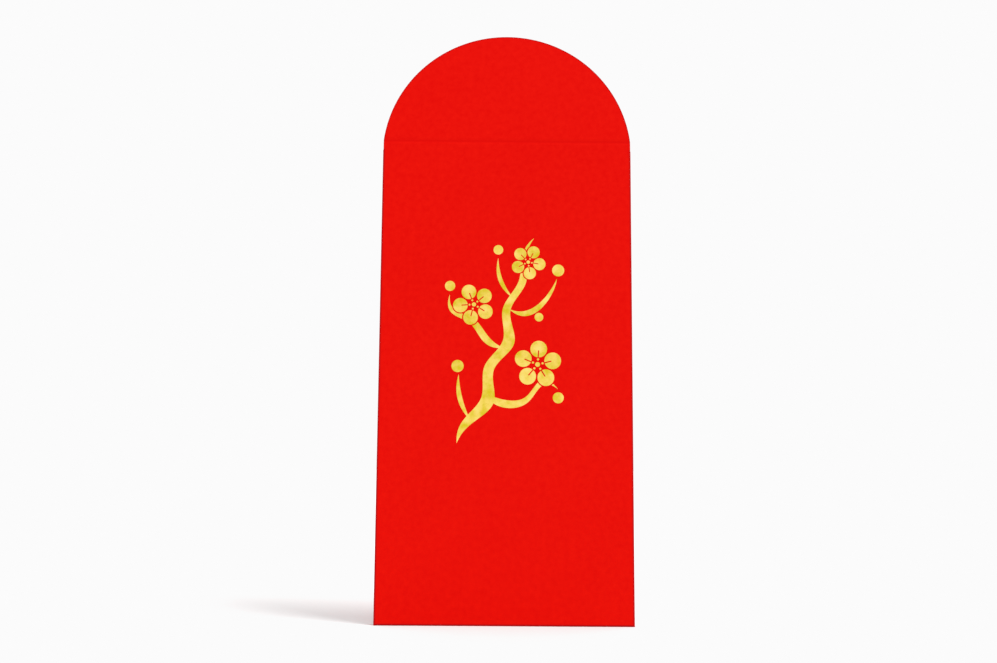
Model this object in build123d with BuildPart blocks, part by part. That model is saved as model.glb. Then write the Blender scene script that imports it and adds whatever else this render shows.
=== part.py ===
"""Red envelope: a folded and glued card pocket with a round flap and a gold foil plum sprig.

Frame: origin on the ground at the middle of the bottom fold, +X to the right seen from the front,
+Y towards the back, +Z up. The printed front looks along -Y. All sizes are in millimetres.
"""

from build123d import *
from math import pi
import os

os.makedirs("parts", exist_ok=True)

# Sheet and films
card = 0.25  # dyed-through red card
glue_film = 0.05  # dried seam glue
foil_film = 0.04  # stamped foil, standing proud of the card
pocket_gap = 2.6  # space that the square-scored edges hold open for a stack of notes
fold_inner = 0.2  # inside radius of each score along an edge

# Pocket
body_width = 88.0
body_height = 168.0  # from the bottom fold to the flap's crease
throat_drop = 0.6  # the pocket's mouth lies this far under the strip that the flap bends in
back_lift = 1.0  # the back panel and side tab start this far above the bottom fold
back_edge_inset = 1.2  # the back panel's free edge stops short of the right side fold
back_corner = 3.0  # rounded corners of the free edge

# Side tab and its seam
side_tab_width = 12.0
side_tab_slant = 5.0  # each end slopes by this much across the tab
seam_margin = 1.2  # bare card left beside the glue
lap_dip = 0.12  # the back panel sinks by this much where it leaves the tab
lap_step = 1.4  # width of the slope down from the tab's edge
lap_run = 24.0  # width of the slow rise back to level

# Bottom tab and its seam
bottom_tab_height = 16.0
bottom_tab_inset = 0.8  # at the fold, on each side
bottom_tab_slant = 6.0  # each end leans in by this much
bottom_tab_corner = 2.5
bottom_glue_margin = 2.2

# Flap
flap_height = 38.8  # from the crease to the top of the arc
flap_inset = 0.15  # the cut edge above the mouth stops this far inside the side folds
closed_clearance = 0.15  # between the closed flap and the back panel
score_width = 2.2
score_depth = 0.12

# Gold foil sprig
sprig_width = 42.0
sprig_height = 72.0
sprig_centre_height = 97.0
sprig_offset = -0.7  # to the left of the middle
brush_width = 4.6  # of the branch at its thickest
blossom_radius = 8.4  # of the largest blossom
bud_radius = 2.3  # of the largest bud
foil_gap = 0.4  # bare card between neighbouring patches of foil

# Layers of the folded sheet, from the front face to the back
stack = 4 * card + pocket_gap + 2 * glue_film
front_face = -stack / 2
front_inside = front_face + card
tab_inside = front_inside + pocket_gap
tab_outside = tab_inside + card
back_inside = tab_outside + glue_film
back_outside = back_inside + card
bottom_tab_inside = back_outside + glue_film
bottom_tab_outside = bottom_tab_inside + card

# Folds
fold_outer = fold_inner + card
flat_half = body_width / 2 - fold_outer  # half the flat width between the side folds
flap_half = body_width / 2 - flap_inset  # half the width of the unfolded sheet above the mouth

# Hinge of the flap: half a turn about this line lays the flap on the back panel
hinge_depth = (front_inside + back_outside + closed_clearance) / 2
bend_radius = hinge_depth - (front_face + card / 2)
crease_height = pi * bend_radius  # the strip of card that the half turn uses up
crease_foot = body_height - crease_height / 2
crease_head = body_height + crease_height / 2

mouth = crease_foot - throat_drop
back_foot = fold_outer + back_lift


def sheet_plane(depth):
    """Upright plane at the given Y, with X to the right and Z up. Extruding it goes to the front."""
    return Plane.XZ.offset(-depth)


def write(piece, name):
    """Label a finished piece and write it under its own name."""
    piece.part.label = name
    export_step(piece.part, f"parts/{name}.step")


def fold_section(depth, side):
    """Draw an edge's U section at the sketch's origin: two scores with a narrow flat between them.

    The U lies along the local Y, depth thick from the front face, and bulges to the given side in X.
    """
    with Locations((0, depth / 2)):
        SlotOverall(depth, 2 * fold_outer, rotation=90)
        SlotOverall(depth - 2 * card, 2 * fold_inner, rotation=90, mode=Mode.SUBTRACT)
        with Locations((side * fold_outer / 2, 0)):
            Rectangle(fold_outer, depth, mode=Mode.INTERSECT)


# Front panel: the flat face between the side folds, from the bottom fold to the crease. Above the mouth,
# where the sheet isn't folded, it is flat out to its cut edges.
with BuildPart() as front_panel:
    with BuildSketch(sheet_plane(front_inside)):
        with Locations((0, fold_outer)):
            Rectangle(2 * flat_half, mouth - fold_outer, align=(Align.CENTER, Align.MIN))
        with Locations((0, mouth)):
            Rectangle(2 * flap_half, crease_foot - mouth, align=(Align.CENTER, Align.MIN))
    extrude(amount=card)
write(front_panel, "front_panel")

# Side folds: on the left the sheet turns round into the back panel, on the right into the side tab
with BuildPart() as left_side_fold:
    with BuildSketch(Plane((-flat_half, front_face, 0))):
        fold_section(back_outside - front_face, -1)
    extrude(amount=mouth)
write(left_side_fold, "left_side_fold")

with BuildPart() as right_side_fold:
    with BuildSketch(Plane((flat_half, front_face, 0))):
        fold_section(tab_outside - front_face, 1)
    extrude(amount=mouth)
write(right_side_fold, "right_side_fold")

# Bottom fold: the sheet turns under the pocket and up into the bottom tab
bottom_fold_plane = Plane((-flat_half, front_face, fold_outer), x_dir=(0, 0, -1), z_dir=(1, 0, 0))
with BuildPart() as bottom_fold:
    with BuildSketch(bottom_fold_plane):
        fold_section(bottom_tab_outside - front_face, 1)
    extrude(amount=2 * flat_half)
write(bottom_fold, "bottom_fold")

# Back panel: runs from the left side fold to just short of the right one. It lies level on the side tab
# and sinks a little beside the tab's free edge, which shows as a faint upright line.
back_right = flat_half - back_edge_inset
tab_left = flat_half - side_tab_width
dip_middle = tab_left - lap_step
dip_start = dip_middle - lap_run


def back_face(depth):
    """Draw one face of the back panel, seen from above."""
    flat = (1, 0)
    Line((-flat_half, depth), (dip_start, depth))
    Spline((dip_start, depth), (dip_middle, depth - lap_dip), tangents=(flat, flat))
    Spline((dip_middle, depth - lap_dip), (tab_left, depth), tangents=(flat, flat))
    Line((tab_left, depth), (back_right, depth))


with BuildPart() as back_panel:
    with BuildSketch(Plane.XY.offset(back_foot)):
        with BuildLine():
            back_face(back_inside)
            back_face(back_outside)
            Line((-flat_half, back_inside), (-flat_half, back_outside))
            Line((back_right, back_inside), (back_right, back_outside))
        make_face()
    extrude(amount=mouth - back_foot)
    free_edge = back_panel.faces().sort_by(Axis.X)[-1]
    fillet(free_edge.edges().filter_by(Axis.Y), radius=back_corner)
write(back_panel, "back_panel")

# Side tab: folded in from the right, with sloping ends
with BuildPart() as side_tab:
    with BuildSketch(sheet_plane(tab_outside)):
        with BuildLine():
            Polyline(
                (flat_half, back_foot),
                (flat_half, mouth),
                (tab_left, mouth - side_tab_slant),
                (tab_left, back_foot + side_tab_slant),
                close=True,
            )
        make_face()
    extrude(amount=card)
write(side_tab, "side_tab")

# Side seam glue: a film between the side tab and the back panel's free edge
glue_left = tab_left + seam_margin
glue_right = back_right - seam_margin
with BuildPart() as side_seam_glue:
    with BuildSketch(sheet_plane(back_inside)):
        with Locations((glue_left, (back_foot + mouth) / 2)):
            Rectangle(
                glue_right - glue_left,
                mouth - back_foot - 2 * (side_tab_slant + seam_margin),
                align=(Align.MIN, Align.CENTER),
            )
    extrude(amount=glue_film)
write(side_seam_glue, "side_seam_glue")


def bottom_tab_outline():
    """Draw the bottom tab, wide at the fold and narrower at its rounded top."""
    base_half = flat_half - bottom_tab_inset
    top_half = base_half - bottom_tab_slant
    top = fold_outer + bottom_tab_height
    with BuildLine() as outline:
        Polyline(
            (-base_half, fold_outer),
            (base_half, fold_outer),
            (top_half, top),
            (-top_half, top),
            close=True,
        )
    make_face(outline.edges())


# Bottom tab: turned up over the back panel's foot
with BuildPart() as bottom_tab:
    with BuildSketch(sheet_plane(bottom_tab_outside)) as tab_outline:
        bottom_tab_outline()
        fillet(tab_outline.vertices().group_by(Axis.Y)[-1], radius=bottom_tab_corner)
    extrude(amount=card)
write(bottom_tab, "bottom_tab")

# Bottom tab glue: a film set in from the tab's edges
with BuildPart() as bottom_tab_glue:
    with BuildSketch(sheet_plane(bottom_tab_inside)):
        bottom_tab_outline()
        offset(amount=-bottom_glue_margin, mode=Mode.REPLACE)
    extrude(amount=glue_film)
write(bottom_tab_glue, "bottom_tab_glue")


def flap_outline():
    """Draw the flap from the crease line up: its edge is one circular arc from side to side."""
    with BuildLine() as outline:
        ThreePointArc((flap_half, body_height), (0, body_height + flap_height), (-flap_half, body_height))
        Line((-flap_half, body_height), (flap_half, body_height))
    make_face(outline.edges())


# Flap crease: a strip of the sheet with a groove pressed into its front and a bead raised behind
with BuildPart() as flap_crease:
    with BuildSketch(Plane.YZ.offset(-flap_half)):
        with Locations((front_face, body_height)):
            Rectangle(card, crease_height, align=(Align.MIN, Align.CENTER))
        for face_depth, mode in ((front_face, Mode.SUBTRACT), (front_inside, Mode.ADD)):
            score_foot = (face_depth, body_height - score_width / 2)
            score_head = (face_depth, body_height + score_width / 2)
            with BuildLine():
                ThreePointArc(score_foot, (face_depth + score_depth, body_height), score_head)
                Line(score_head, score_foot)
            make_face(mode=mode)
    extrude(amount=2 * flap_half)
    with BuildSketch(sheet_plane(front_inside + score_depth)):
        flap_outline()
        with Locations((0, crease_foot)):
            Rectangle(2 * flap_half, crease_height / 2, align=(Align.CENTER, Align.MIN))
    extrude(amount=card + score_depth, mode=Mode.INTERSECT)
write(flap_crease, "flap_crease")

# Closing flap: all of the flap above the strip that bends
with BuildPart() as closing_flap:
    with BuildSketch(sheet_plane(front_inside)):
        flap_outline()
        with Locations((0, crease_head)):
            Rectangle(2 * flap_half, flap_height, align=(Align.CENTER, Align.MIN), mode=Mode.INTERSECT)
    extrude(amount=card)
write(closing_flap, "closing_flap")


# Gold foil sprig. Places are shares of the sprig's width and height, from its middle. Widths along a
# stroke are shares of the brush width, and blossoms and buds are shares of the largest of their kind.
def on_sprig(place):
    """Turn a place on the sprig, in shares, into X and Z on the front panel."""
    across, up = place
    return sprig_offset + across * sprig_width, sprig_centre_height + up * sprig_height


# Each stroke: places along its middle, then its width at the places between the two pointed ends
stroke_shares = (
    (
        (
            (-0.38, -0.50),
            (-0.30, -0.40),
            (-0.13, -0.29),
            (-0.12, -0.14),
            (0.04, -0.01),
            (0.02, 0.14),
            (0.15, 0.28),
            (0.17, 0.41),
            (0.25, 0.50),
        ),
        (0.62, 1.00, 0.76, 0.88, 0.60, 0.56, 0.36),
    ),
    (
        ((-0.16, -0.25), (0.01, -0.31), (0.19, -0.29), (0.31, -0.21), (0.45, -0.24)),
        (0.58, 0.42, 0.40),
    ),
    (
        ((0.00, -0.04), (-0.16, 0.01), (-0.27, 0.09), (-0.41, 0.13), (-0.45, 0.22)),
        (0.54, 0.46, 0.34),
    ),
    (
        ((0.04, 0.15), (0.20, 0.13), (0.34, 0.19), (0.44, 0.30)),
        (0.42, 0.34),
    ),
    (
        ((-0.27, -0.39), (-0.36, -0.28), (-0.37, -0.17)),
        (0.36,),
    ),
    (
        ((0.08, 0.20), (-0.03, 0.29), (-0.05, 0.40)),
        (0.32,),
    ),
)
# Each blossom: its place, its size, and how far it is turned in degrees
blossom_shares = (
    ((0.28, -0.12), 1.00, 14),
    ((-0.25, 0.17), 0.88, 40),
    ((0.20, 0.38), 0.74, 62),
)
# Each bud: its place and its size
bud_shares = (
    ((0.45, -0.28), 0.83),
    ((-0.45, 0.26), 0.78),
    ((0.45, 0.34), 0.92),
    ((0.29, 0.11), 0.66),
    ((-0.38, -0.13), 0.92),
    ((-0.05, 0.44), 0.74),
)
# Parts of a blossom, as shares of its radius
petals = 5
petal_share = 0.345
petal_ring_share = 0.64
slit_width_share = 0.05  # bare line up the middle of a petal
slit_length_share = 0.34
slit_ring_share = 0.42
pistil_share = 0.10
anther_share = 0.045
anther_ring_share = 0.21


def brush_stroke(places, width_shares):
    """Draw one brush stroke: pointed at both ends, and as wide as the shares say in between."""
    with BuildLine() as outline:
        spine = Spline(*[on_sprig(place) for place in places], mode=Mode.PRIVATE)
        left = [spine @ 0]
        right = [spine @ 0]
        for place, width_share in zip(places[1:-1], width_shares):
            along = spine.param_at_point(on_sprig(place))
            across = (spine % along).rotate(Axis.Z, 90) * (width_share * brush_width / 2)
            left.append(spine @ along + across)
            right.append(spine @ along - across)
        Spline(*left, spine @ 1)
        Spline(*right, spine @ 1)
    make_face(outline.edges())


with BuildPart() as foil_branch:
    with BuildSketch(sheet_plane(front_face)):
        for places, width_shares in stroke_shares:
            brush_stroke(places, width_shares)
        for place, size_share, turn in blossom_shares:
            radius = size_share * blossom_radius
            with Locations(on_sprig(place)):
                Circle(petal_ring_share * radius, mode=Mode.SUBTRACT)
                with PolarLocations(petal_ring_share * radius, petals, start_angle=turn):
                    Circle(petal_share * radius + foil_gap, mode=Mode.SUBTRACT)
        for place, size_share in bud_shares:
            with Locations(on_sprig(place)):
                Circle(size_share * bud_radius + foil_gap, mode=Mode.SUBTRACT)
    extrude(amount=foil_film)
write(foil_branch, "foil_branch")

with BuildPart() as foil_petals:
    with BuildSketch(sheet_plane(front_face)):
        for place, size_share, turn in blossom_shares:
            radius = size_share * blossom_radius
            with Locations(on_sprig(place)):
                with PolarLocations(petal_ring_share * radius, petals, start_angle=turn):
                    Circle(petal_share * radius)
                with PolarLocations(slit_ring_share * radius, petals, start_angle=turn):
                    SlotOverall(
                        slit_length_share * radius, slit_width_share * radius, mode=Mode.SUBTRACT
                    )
    extrude(amount=foil_film)
write(foil_petals, "foil_petals")

with BuildPart() as foil_stamens:
    with BuildSketch(sheet_plane(front_face)):
        for place, size_share, turn in blossom_shares:
            radius = size_share * blossom_radius
            with Locations(on_sprig(place)):
                Circle(pistil_share * radius)
                with PolarLocations(anther_ring_share * radius, petals, start_angle=turn):
                    Circle(anther_share * radius)
    extrude(amount=foil_film)
write(foil_stamens, "foil_stamens")

with BuildPart() as foil_buds:
    with BuildSketch(sheet_plane(front_face)):
        for place, size_share in bud_shares:
            with Locations(on_sprig(place)):
                Circle(size_share * bud_radius)
    extrude(amount=foil_film)
write(foil_buds, "foil_buds")
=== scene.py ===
"""Red envelope: materials, the bending crease of its flap, floor, light and camera."""

import math

import bmesh
import bpy
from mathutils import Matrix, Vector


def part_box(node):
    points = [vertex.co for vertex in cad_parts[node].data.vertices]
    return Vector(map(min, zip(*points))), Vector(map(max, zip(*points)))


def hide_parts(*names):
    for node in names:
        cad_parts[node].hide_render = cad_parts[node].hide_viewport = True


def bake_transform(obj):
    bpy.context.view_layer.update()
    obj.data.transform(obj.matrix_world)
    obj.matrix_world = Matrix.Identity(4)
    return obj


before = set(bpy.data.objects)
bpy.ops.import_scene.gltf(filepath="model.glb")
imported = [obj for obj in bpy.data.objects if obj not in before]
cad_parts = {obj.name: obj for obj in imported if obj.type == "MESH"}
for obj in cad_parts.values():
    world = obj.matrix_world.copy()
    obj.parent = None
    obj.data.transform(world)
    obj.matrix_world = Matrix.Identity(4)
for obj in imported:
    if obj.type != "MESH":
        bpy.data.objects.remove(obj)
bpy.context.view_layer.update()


# Front panel: the flat face of the packet, between its side folds and under the flap's crease.
# It is dyed-through red card of about 200 g per square metre with a calendered, satin surface.
# It is the middle of one die-cut sheet, and every fold below carries on from its edges.
def linear(hex_colour):
    """Turn an sRGB hex colour into the linear colour that a shader takes."""
    channels = [int(hex_colour[i : i + 2], 16) / 255 for i in (1, 3, 5)]
    return [c / 12.92 if c <= 0.04045 else ((c + 0.055) / 1.055) ** 2.4 for c in channels] + [1.0]


def add_node(material, kind, settings=None, links=None):
    """Add a node to a material, set its own settings and its sockets, and link its sockets."""
    node = material.node_tree.nodes.new(kind)
    for name, value in (settings or {}).items():
        if isinstance(name, str) and hasattr(node, name):
            setattr(node, name, value)
        else:
            node.inputs[name].default_value = value
    for name, socket in (links or {}).items():
        material.node_tree.links.new(socket, node.inputs[name])
    return node


def new_material(name):
    """Make a material with an empty node tree, apart from its output."""
    material = bpy.data.materials.new(name)
    material.use_nodes = True
    material.node_tree.nodes.clear()
    return material, add_node(material, "ShaderNodeOutputMaterial")


def dress(material, *names):
    """Give CAD nodes a material."""
    for name in names:
        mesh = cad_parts[name].data
        mesh.materials.clear()
        mesh.materials.append(material)


CARD_DEEP = "#CC0400"
CARD_LIT = "#D40C02"
CARD_CLOUD = 0.022  # m, slow drift of the dye across the sheet
CARD_MOTTLE = 0.0020  # m, clumps of pulp that took more or less dye
CARD_FIBRE = 0.00035  # m across a fibre: real ones are a tenth of this, too fine to show
CARD_FIBRE_RUN = 0.3  # fibres lie along the sheet's length, so the pattern is stretched upwards
CARD_FLECKS = 0.8  # share of the change in colour that is flecks, and the rest is slow drift
CARD_RELIEF = 0.00002  # m from the hollows to the tops of the fibres
CARD_CLUMPS = 0.4  # share of that relief that is clumps, and the rest is fibres
CARD_RELIEF_STRENGTH = 0.5
CARD_SMOOTHEST = 0.42  # roughness where the calender pressed most
CARD_ROUGHEST = 0.56
CARD_IOR = 1.5
CARD_SPECULAR = 0.035  # bare fibres scatter most of what a smooth face would mirror
NOISE_LOW = 0.3  # nearly all of a noise pattern lies between these two values
NOISE_HIGH = 0.7


def red_card(name):
    """Make the card's material. Gives it with its places, its colour and its shader."""
    material, output = new_material(name)
    place = add_node(material, "ShaderNodeTexCoord").outputs["Object"]
    cloud = add_node(
        material, "ShaderNodeTexNoise", {"Scale": 1 / CARD_CLOUD, "Detail": 2.0}, {"Vector": place}
    )
    mottle = add_node(
        material,
        "ShaderNodeTexNoise",
        {"Scale": 1 / CARD_MOTTLE, "Detail": 3.0, "Roughness": 0.6},
        {"Vector": place},
    )
    along = add_node(
        material, "ShaderNodeMapping", {"Scale": (1.0, 1.0, CARD_FIBRE_RUN)}, {"Vector": place}
    )
    fibre = add_node(
        material,
        "ShaderNodeTexNoise",
        {"Scale": 1 / CARD_FIBRE, "Detail": 2.0, "Distortion": 0.8},
        {"Vector": along.outputs["Vector"]},
    )
    # Dyed pulp is even from afar and faintly flecked close by, so the flecks outweigh the drift.
    dye = add_node(
        material,
        "ShaderNodeMix",
        {"Factor": CARD_FLECKS},
        {2: cloud.outputs["Fac"], 3: mottle.outputs["Fac"]},
    )
    dye_spread = add_node(
        material,
        "ShaderNodeMapRange",
        {"From Min": NOISE_LOW, "From Max": NOISE_HIGH},
        {"Value": dye.outputs[0]},
    )
    colour = add_node(
        material,
        "ShaderNodeMix",
        {"data_type": "RGBA", 6: linear(CARD_DEEP), 7: linear(CARD_LIT)},
        {"Factor": dye_spread.outputs["Result"]},
    )
    # Calendering presses the tops of the fibres smooth, which leaves a broken satin gloss.
    gloss = add_node(
        material,
        "ShaderNodeMapRange",
        {
            "From Min": NOISE_LOW,
            "From Max": NOISE_HIGH,
            "To Min": CARD_SMOOTHEST,
            "To Max": CARD_ROUGHEST,
        },
        {"Value": mottle.outputs["Fac"]},
    )
    relief = add_node(
        material,
        "ShaderNodeMix",
        {"Factor": CARD_CLUMPS},
        {2: fibre.outputs["Fac"], 3: mottle.outputs["Fac"]},
    )
    bump = add_node(
        material,
        "ShaderNodeBump",
        {"Strength": CARD_RELIEF_STRENGTH, "Distance": CARD_RELIEF},
        {"Height": relief.outputs[0]},
    )
    shader = add_node(
        material,
        "ShaderNodeBsdfPrincipled",
        {"IOR": CARD_IOR, "Specular IOR Level": CARD_SPECULAR},
        {
            "Base Color": colour.outputs[2],
            "Roughness": gloss.outputs["Result"],
            "Normal": bump.outputs["Normal"],
        },
    )
    material.node_tree.links.new(shader.outputs["BSDF"], output.inputs["Surface"])
    return material, place, colour.outputs[2], shader


def paint_shade(material, shader, colour, shade_red, share):
    """Paint shade: deepen the card's red towards a shade colour, by a share of 0 to 1. Gives the new
    colour.
    """
    shaded_colour = add_node(
        material,
        "ShaderNodeMix",
        {"data_type": "RGBA", 7: linear(shade_red)},
        {"Factor": share, 6: colour},
    )
    material.node_tree.links.new(shaded_colour.outputs[2], shader.inputs["Base Color"])
    return shaded_colour.outputs[2]


# Dyed red card: a deep even red, satin rather than shiny, with fine flecks and fibres. Beside the scores
# a thin line of deeper red is painted shade, where the card turns away from the light into its folds.
EDGE_SHADE_RED = "#A80A0C"
SCORE_SHADE_WIDTH = 0.0005  # m of card beside a score that gets painted shade

front_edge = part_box("right_side_fold")[0].x
front_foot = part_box("front_panel")[0].z
front_card, place, card_colour, shader = red_card("red_card_front_score_shade")
# A thin line of deeper red beside the side and bottom scores is painted shade.
spot = add_node(front_card, "ShaderNodeSeparateXYZ", links={"Vector": place})
off_middle = add_node(
    front_card, "ShaderNodeMath", {"operation": "ABSOLUTE"}, {0: spot.outputs["X"]}
)
side_shade = add_node(
    front_card,
    "ShaderNodeMapRange",
    {
        "interpolation_type": "SMOOTHSTEP",
        "From Min": front_edge - SCORE_SHADE_WIDTH,
        "From Max": front_edge + SCORE_SHADE_WIDTH / 2,
    },
    {"Value": off_middle.outputs[0]},
)
foot_shade = add_node(
    front_card,
    "ShaderNodeMapRange",
    {
        "interpolation_type": "SMOOTHSTEP",
        "From Min": front_foot + SCORE_SHADE_WIDTH,
        "From Max": front_foot - SCORE_SHADE_WIDTH / 2,
    },
    {"Value": spot.outputs["Z"]},
)
score_shade = add_node(
    front_card,
    "ShaderNodeMath",
    {"operation": "MAXIMUM"},
    {0: side_shade.outputs["Result"], 1: foot_shade.outputs["Result"]},
)
paint_shade(front_card, shader, card_colour, EDGE_SHADE_RED, score_shade.outputs[0])
dress(front_card, "front_panel")


# Side folds and bottom fold: the sheet turns round to the back in two scores with a narrow flat between
# them. Each score's rounding is painted with shade, a deeper red where the card turns away from the
# light.
SCORE_START = 0.00118  # m from the packet's mid-plane, where the flat of an edge starts to turn
FOLD_SHADE_FULL = 0.00150  # m from the mid-plane, where the painted shade is deepest

scored_card, place, card_colour, shader = red_card("scored_red_card_fold_shade")
depth = add_node(scored_card, "ShaderNodeSeparateXYZ", links={"Vector": place})
off_middle = add_node(
    scored_card, "ShaderNodeMath", {"operation": "ABSOLUTE"}, {0: depth.outputs["Y"]}
)
fold_shade = add_node(
    scored_card,
    "ShaderNodeMapRange",
    {"interpolation_type": "SMOOTHSTEP", "From Min": SCORE_START, "From Max": FOLD_SHADE_FULL},
    {"Value": off_middle.outputs[0]},
)
paint_shade(scored_card, shader, card_colour, EDGE_SHADE_RED, fold_shade.outputs["Result"])
dress(scored_card, "left_side_fold", "right_side_fold", "bottom_fold")


# Back panel, side tab and bottom tab: the same sheet, folded round and lapped. The back panel is glued
# down on the side tab and sinks beside the tab's edge, and the bottom tab is glued over them both.
# Each free edge has a thin rim of deeper red, painted shade where the cut edge of the card lies in
# shadow.
RIM_SHADE_WIDTH = 0.0006  # m of painted shade along a cut edge
PANEL_ROUNDING = 0.0035  # m over which the back panel's rim turns its corner
TAB_ROUNDING = 0.0018  # m, the same at the bottom tab's corners
TAB_SLANT = 0.375  # each end of the bottom tab leans in by this much of its height


def rim_shade(material, spot, edges, rounding):
    """Give the share of painted rim shade beside two straight cut edges, each a direction and its reach.
    """
    past_edges = []
    for direction, reach in edges:
        towards = add_node(
            material,
            "ShaderNodeVectorMath",
            {"operation": "DOT_PRODUCT", 1: direction},
            {0: spot},
        )
        past = add_node(
            material,
            "ShaderNodeMath",
            {"operation": "SUBTRACT", 1: reach},
            {0: towards.outputs["Value"]},
        )
        past_edges.append(past.outputs[0])
    past_both = add_node(
        material,
        "ShaderNodeMath",
        {"operation": "SMOOTH_MAX", 2: rounding},
        {0: past_edges[0], 1: past_edges[1]},
    )
    rim = add_node(
        material,
        "ShaderNodeMapRange",
        {"interpolation_type": "SMOOTHSTEP", "From Min": -RIM_SHADE_WIDTH, "From Max": 0.0},
        {"Value": past_both.outputs[0]},
    )
    return rim.outputs["Result"]


def shade_line(material, across, middle, half_width):
    """Give the share of a soft line of painted shade, 1 along its middle and 0 from half its width away.
    """
    off_line = add_node(
        material, "ShaderNodeMath", {"operation": "SUBTRACT", 1: middle}, {0: across}
    )
    from_line = add_node(
        material, "ShaderNodeMath", {"operation": "ABSOLUTE"}, {0: off_line.outputs[0]}
    )
    line = add_node(
        material,
        "ShaderNodeMapRange",
        {"interpolation_type": "SMOOTHSTEP", "From Min": half_width, "From Max": 0.0},
        {"Value": from_line.outputs[0]},
    )
    return line.outputs["Result"]


# Lapped red card: over the side tab's edge a faint line of deeper red is painted shade, standing in for
# the shading of the panel's step, and it runs out where the tab's end slopes away.
LINE_SHADE_RED = "#CA0400"
LAP_SHADE_HALF = 0.0009  # m to each side of the middle of the panel's step
LAP_STEP = 0.0014  # m across that step, beside the tab's edge
LAP_END = 0.005  # m of the tab's sloping end

panel_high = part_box("back_panel")[1]
lap_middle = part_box("side_tab")[0].x - LAP_STEP / 2
panel_card, place, card_colour, shader = red_card("lapped_red_card_painted_shade")
panel_spot = add_node(panel_card, "ShaderNodeSeparateXYZ", links={"Vector": place})
lap_shade_line = shade_line(panel_card, panel_spot.outputs["X"], lap_middle, LAP_SHADE_HALF)
below_end = add_node(
    panel_card,
    "ShaderNodeMapRange",
    {
        "interpolation_type": "SMOOTHSTEP",
        "From Min": panel_high.z,
        "From Max": panel_high.z - LAP_END,
    },
    {"Value": panel_spot.outputs["Z"]},
)
lap_shade = add_node(
    panel_card,
    "ShaderNodeMath",
    {"operation": "MULTIPLY"},
    {0: lap_shade_line, 1: below_end.outputs["Result"]},
)
panel_rim_shade = rim_shade(
    panel_card,
    place,
    [((1, 0, 0), panel_high.x), ((0, 0, 1), panel_high.z)],
    PANEL_ROUNDING,
)
lap_shade_colour = paint_shade(panel_card, shader, card_colour, LINE_SHADE_RED, lap_shade.outputs[0])
paint_shade(panel_card, shader, lap_shade_colour, EDGE_SHADE_RED, panel_rim_shade)
dress(panel_card, "back_panel")

# Turned-up red card: the bottom tab's two ends are alike, so its painted rim shade is drawn for both at
# once.
tab_low, tab_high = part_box("bottom_tab")
lean = math.atan(TAB_SLANT)
end_reach = tab_high.x * math.cos(lean) + tab_low.z * math.sin(lean)
tab_card, place, card_colour, shader = red_card("turned_up_red_card_rim_shade")
either_end = add_node(tab_card, "ShaderNodeVectorMath", {"operation": "ABSOLUTE"}, {0: place})
tab_rim_shade = rim_shade(
    tab_card,
    either_end.outputs["Vector"],
    [((math.cos(lean), 0, math.sin(lean)), end_reach), ((0, 0, 1), tab_high.z)],
    TAB_ROUNDING,
)
paint_shade(tab_card, shader, card_colour, EDGE_SHADE_RED, tab_rim_shade)
dress(tab_card, "bottom_tab")
dress(red_card("dyed_red_card")[0], "side_tab")


# Seam glue: two thin films of white glue, rolled on by machine and dried clear between the lapped
# layers. Only their edges can be seen, down inside the laps.
GLUE_THIN = "#E9E0CC"
GLUE_THICK = "#CFC09B"
GLUE_STREAK = 0.0015  # m between the streaks that the roller leaves
GLUE_SMOOTHEST = 0.25  # roughness
GLUE_ROUGHEST = 0.45
GLUE_IOR = 1.47

dried_glue, output = new_material("dried_white_glue")
place = add_node(dried_glue, "ShaderNodeTexCoord").outputs["Object"]
streak = add_node(
    dried_glue, "ShaderNodeTexNoise", {"Scale": 1 / GLUE_STREAK, "Detail": 2.0}, {"Vector": place}
)
glue_colour = add_node(
    dried_glue,
    "ShaderNodeMix",
    {"data_type": "RGBA", 6: linear(GLUE_THIN), 7: linear(GLUE_THICK)},
    {"Factor": streak.outputs["Fac"]},
)
glue_gloss = add_node(
    dried_glue,
    "ShaderNodeMapRange",
    {"To Min": GLUE_SMOOTHEST, "To Max": GLUE_ROUGHEST},
    {"Value": streak.outputs["Fac"]},
)
# Dried white glue: a yellowish, half-clear film with a soft gloss and faint streaks.
shader = add_node(
    dried_glue,
    "ShaderNodeBsdfPrincipled",
    {"IOR": GLUE_IOR},
    {"Base Color": glue_colour.outputs[2], "Roughness": glue_gloss.outputs["Result"]},
)
dried_glue.node_tree.links.new(shader.outputs["BSDF"], output.inputs["Surface"])
dress(dried_glue, "side_seam_glue", "bottom_tab_glue")


# Flap crease: the strip of the sheet that bends when the flap closes. A rule pressed a shallow groove
# into its front, from side to side, with a bead raised behind.
CARD_THICKNESS = 0.00025  # m
GROOVE_HALF = 0.0011  # m from the crease line to the groove's side
GROOVE_DEPTH = 0.00006  # m
CREASE_ROWS = 36
CREASE_COLUMNS = 44
ROW_MATCH = 0.00001  # m, points no further apart in height are of one row
SMOOTH_ANGLE = 40.0  # degrees, sharper edges stay crisp

crease_low, crease_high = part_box("flap_crease")
flap_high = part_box("closing_flap")[1]
crease_half = crease_high.x
crease_line = (crease_low.z + crease_high.z) / 2
flap_height = flap_high.z - crease_line
arc_radius = (flap_height**2 + crease_half**2) / (2 * flap_height)
arc_centre = flap_high.z - arc_radius

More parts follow.
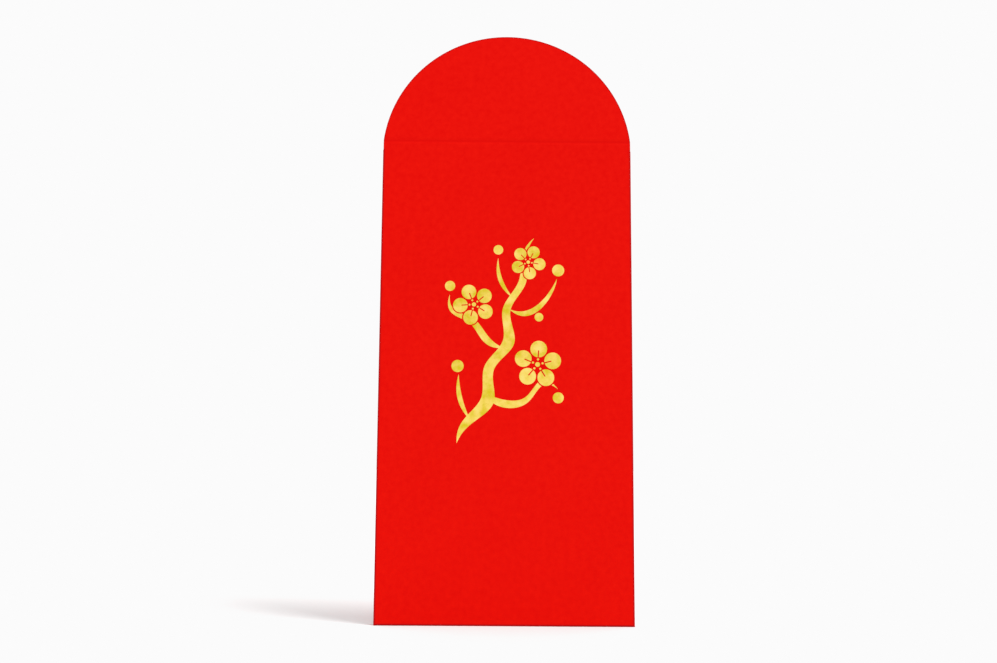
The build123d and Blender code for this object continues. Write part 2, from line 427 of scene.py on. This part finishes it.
bpy.ops.object.select_all(action="DESELECT")
bpy.ops.mesh.primitive_grid_add(
    x_subdivisions=CREASE_COLUMNS,
    y_subdivisions=CREASE_ROWS,
    size=1.0,
    location=(0, crease_low.y, crease_line),
    rotation=(math.radians(90), 0, 0),
)
crease = bpy.context.object
crease.name = "scored_crease"
crease.scale = (2 * crease_half, crease_high.z - crease_low.z, 1.0)
bpy.ops.object.transform_apply(location=True, rotation=True, scale=True)
bpy.ops.object.mode_set(mode="EDIT")
bpy.ops.mesh.select_mode(type="VERT")
strip = bmesh.from_edit_mesh(crease.data)
row_heights = sorted({round(v.co.z, 6) for v in strip.verts})  # to the micrometre
for height in row_heights:
    for v in strip.verts:
        v.select = abs(v.co.z - height) < ROW_MATCH
    strip.select_flush_mode()
    bmesh.update_edit_mesh(crease.data)
    off_crease = abs(height - crease_line)
    if off_crease < GROOVE_HALF:
        pressed_in = GROOVE_DEPTH * (1 - (off_crease / GROOVE_HALF) ** 2)
        bpy.ops.transform.translate(value=(0, pressed_in, 0))
    if height > crease_line:
        narrowed = math.sqrt(arc_radius**2 - (height - arc_centre) ** 2) / crease_half
        bpy.ops.transform.resize(value=(narrowed, 1, 1), center_override=(0, 0, 0))
bpy.ops.object.mode_set(mode="OBJECT")
wall = crease.modifiers.new("card", "SOLIDIFY")
wall.thickness = CARD_THICKNESS
wall.offset = -1.0
bpy.ops.object.modifier_apply(modifier=wall.name)
bpy.ops.object.shade_smooth_by_angle(angle=math.radians(SMOOTH_ANGLE))

# Die-cut red card: the flap's round edge has the same painted rim shade of deeper red as the other cut
# edges, and a faint line of painted shade darkens the bottom of the crease's groove.
CREASE_SHADE_HALF = 0.0007  # m to each side of the crease line

rimmed_card, place, card_colour, shader = red_card("die_cut_red_card_painted_shade")
from_centre = add_node(
    rimmed_card,
    "ShaderNodeMapping",
    {"Location": (0, 0, -arc_centre), "Scale": (1, 0, 1)},
    {"Vector": place},
)
reach = add_node(
    rimmed_card,
    "ShaderNodeVectorMath",
    {"operation": "LENGTH"},
    {0: from_centre.outputs["Vector"]},
)
arc_rim_shade = add_node(
    rimmed_card,
    "ShaderNodeMapRange",
    {
        "interpolation_type": "SMOOTHSTEP",
        "From Min": arc_radius - RIM_SHADE_WIDTH,
        "From Max": arc_radius,
    },
    {"Value": reach.outputs["Value"]},
)
flap_spot = add_node(rimmed_card, "ShaderNodeSeparateXYZ", links={"Vector": place})
crease_shade_line = shade_line(rimmed_card, flap_spot.outputs["Z"], crease_line, CREASE_SHADE_HALF)
crease_shade_colour = paint_shade(rimmed_card, shader, card_colour, LINE_SHADE_RED, crease_shade_line)
paint_shade(rimmed_card, shader, crease_shade_colour, EDGE_SHADE_RED, arc_rim_shade.outputs["Result"])
crease.data.materials.append(rimmed_card)
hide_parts("flap_crease")
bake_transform(crease)


# Closing flap: the round leaf that carries on up from the crease, cut from the same sheet, with the same
# painted rim shade along its arc. It turns back on the crease and lies on the back panel when it is
# closed.
dress(rimmed_card, "closing_flap")


# Gold foil sprig: branch, petals, stamens and buds of plum blossom in metal foil. A heated die presses
# the foil on to the front panel, and it takes on a little of the card's grain.
FOIL_PAINTED_DEEP = "#D8C22B"
FOIL_PAINTED_LIT = "#FFDC78"
FOIL_PAINTED_SHEEN = 0.0035  # m between lighter and deeper places of painted reflection
FOIL_GRAIN = 0.0006  # m, the card's grain under the foil, drawn coarse enough to show
FOIL_RELIEF = 0.00002  # m from the hollows to the tops of that grain
FOIL_RELIEF_STRENGTH = 0.6
FOIL_SMOOTHEST = 0.26  # roughness
FOIL_ROUGHEST = 0.40

gold_foil, output = new_material("hot_stamped_gold_foil")
place = add_node(gold_foil, "ShaderNodeTexCoord").outputs["Object"]
painted_sheen = add_node(
    gold_foil, "ShaderNodeTexNoise", {"Scale": 1 / FOIL_PAINTED_SHEEN, "Detail": 2.0}, {"Vector": place}
)
grain = add_node(
    gold_foil, "ShaderNodeTexNoise", {"Scale": 1 / FOIL_GRAIN, "Detail": 2.0}, {"Vector": place}
)
painted_sheen_spread = add_node(
    gold_foil,
    "ShaderNodeMapRange",
    {"From Min": NOISE_LOW, "From Max": NOISE_HIGH},
    {"Value": painted_sheen.outputs["Fac"]},
)
# The foil's colour swings between lighter and deeper gold: painted reflection, in place of the metal's
# changing reflections.
foil_colour = add_node(
    gold_foil,
    "ShaderNodeMix",
    {"data_type": "RGBA", 6: linear(FOIL_PAINTED_DEEP), 7: linear(FOIL_PAINTED_LIT)},
    {"Factor": painted_sheen_spread.outputs["Result"]},
)
foil_gloss = add_node(
    gold_foil,
    "ShaderNodeMapRange",
    {
        "From Min": NOISE_LOW,
        "From Max": NOISE_HIGH,
        "To Min": FOIL_SMOOTHEST,
        "To Max": FOIL_ROUGHEST,
    },
    {"Value": grain.outputs["Fac"]},
)
foil_bump = add_node(
    gold_foil,
    "ShaderNodeBump",
    {"Strength": FOIL_RELIEF_STRENGTH, "Distance": FOIL_RELIEF},
    {"Height": grain.outputs["Fac"]},
)
# Hot-stamped foil: a thin bright metal with a soft, slightly broken shine, from its grain and from the
# painted reflection in its colour.
shader = add_node(
    gold_foil,
    "ShaderNodeBsdfPrincipled",
    {"Metallic": 1.0},
    {
        "Base Color": foil_colour.outputs[2],
        "Roughness": foil_gloss.outputs["Result"],
        "Normal": foil_bump.outputs["Normal"],
    },
)
gold_foil.node_tree.links.new(shader.outputs["BSDF"], output.inputs["Surface"])
dress(gold_foil, "foil_branch", "foil_petals", "foil_stamens", "foil_buds")


# Studio: a plain pale floor under an even white dome, with one large soft light from the right, in front
# and above. The lit floor is a little brighter than the dome and both come out white, with no horizon.
FLOOR_PALE = "#E2E2E2"
FLOOR_SIZE = 20.0  # m
FLOOR_GAP = 0.00002  # m under the packet, so that no two faces share a plane
DOME_WHITE = "#FFFFFF"
DOME_BRIGHTNESS = 1.0
KEY_STRENGTH = 2.3
KEY_ELEVATION = 53.0  # degrees above the floor
KEY_SIDE = 60.0  # degrees round from the front to the right
KEY_SOFTNESS = 25.0  # degrees across the light, as the packet sees it
KEY_PLACE = (0.6, -0.7, 0.8)  # m, which only says where the lamp is drawn: a sun shines all over
PAPER_WHITE = 0.965  # the picture's whites stop just short of full white, as in the photograph
WHITE_KNEE = 0.01  # below that white, where the tones start to level off
ALL_CHANNELS = 3  # the tone curve that acts on red, green and blue together

bpy.ops.object.select_all(action="DESELECT")
bpy.ops.mesh.primitive_plane_add(size=FLOOR_SIZE, location=(0, 0, -FLOOR_GAP))
floor = bpy.context.object
floor.name = "studio_floor"
floor_paint, output = new_material("matte_floor_paint")
shader = add_node(
    floor_paint,
    "ShaderNodeBsdfPrincipled",
    {"Base Color": linear(FLOOR_PALE), "Roughness": 1.0, "Specular IOR Level": 0.0},
)
floor_paint.node_tree.links.new(shader.outputs["BSDF"], output.inputs["Surface"])
floor.data.materials.append(floor_paint)

dome = bpy.data.worlds.new("studio_dome")
dome.use_nodes = True
dome_light = dome.node_tree.nodes["Background"].inputs
dome_light["Color"].default_value = linear(DOME_WHITE)
dome_light["Strength"].default_value = DOME_BRIGHTNESS
bpy.context.scene.world = dome

picture = bpy.context.scene.view_settings
picture.view_transform = "Standard"
picture.use_curve_mapping = True
picture.curve_mapping.extend = "HORIZONTAL"
tone = picture.curve_mapping.curves[ALL_CHANNELS].points
tone.new(PAPER_WHITE - WHITE_KNEE, PAPER_WHITE - WHITE_KNEE)
tone[-1].location = (1.0, PAPER_WHITE)
for point in tone:
    point.handle_type = "VECTOR"
picture.curve_mapping.update()

bpy.ops.object.light_add(
    type="SUN",
    location=KEY_PLACE,
    rotation=(math.radians(90 - KEY_ELEVATION), 0, math.radians(KEY_SIDE)),
)
key = bpy.context.object
key.name = "soft_key"
key.data.energy = KEY_STRENGTH
key.data.angle = math.radians(KEY_SOFTNESS)


# Camera: low in front of the packet and tipped a little upwards, as in the photograph. The packet fills
# most of the picture's height and narrows a little towards its top.
CAMERA_PLACE = (-0.00444, -0.3640, 0.05383)  # m
CAMERA_TURN = (97.23, -0.383, -0.345)  # degrees
CAMERA_LENS = 37.91  # mm
CAMERA_NEAR = 0.01  # m, nothing nearer than this is drawn

bpy.ops.object.camera_add(
    location=CAMERA_PLACE, rotation=[math.radians(turn) for turn in CAMERA_TURN]
)
camera = bpy.context.object
camera.data.lens = CAMERA_LENS
camera.data.clip_start = CAMERA_NEAR
bpy.context.scene.camera = camera
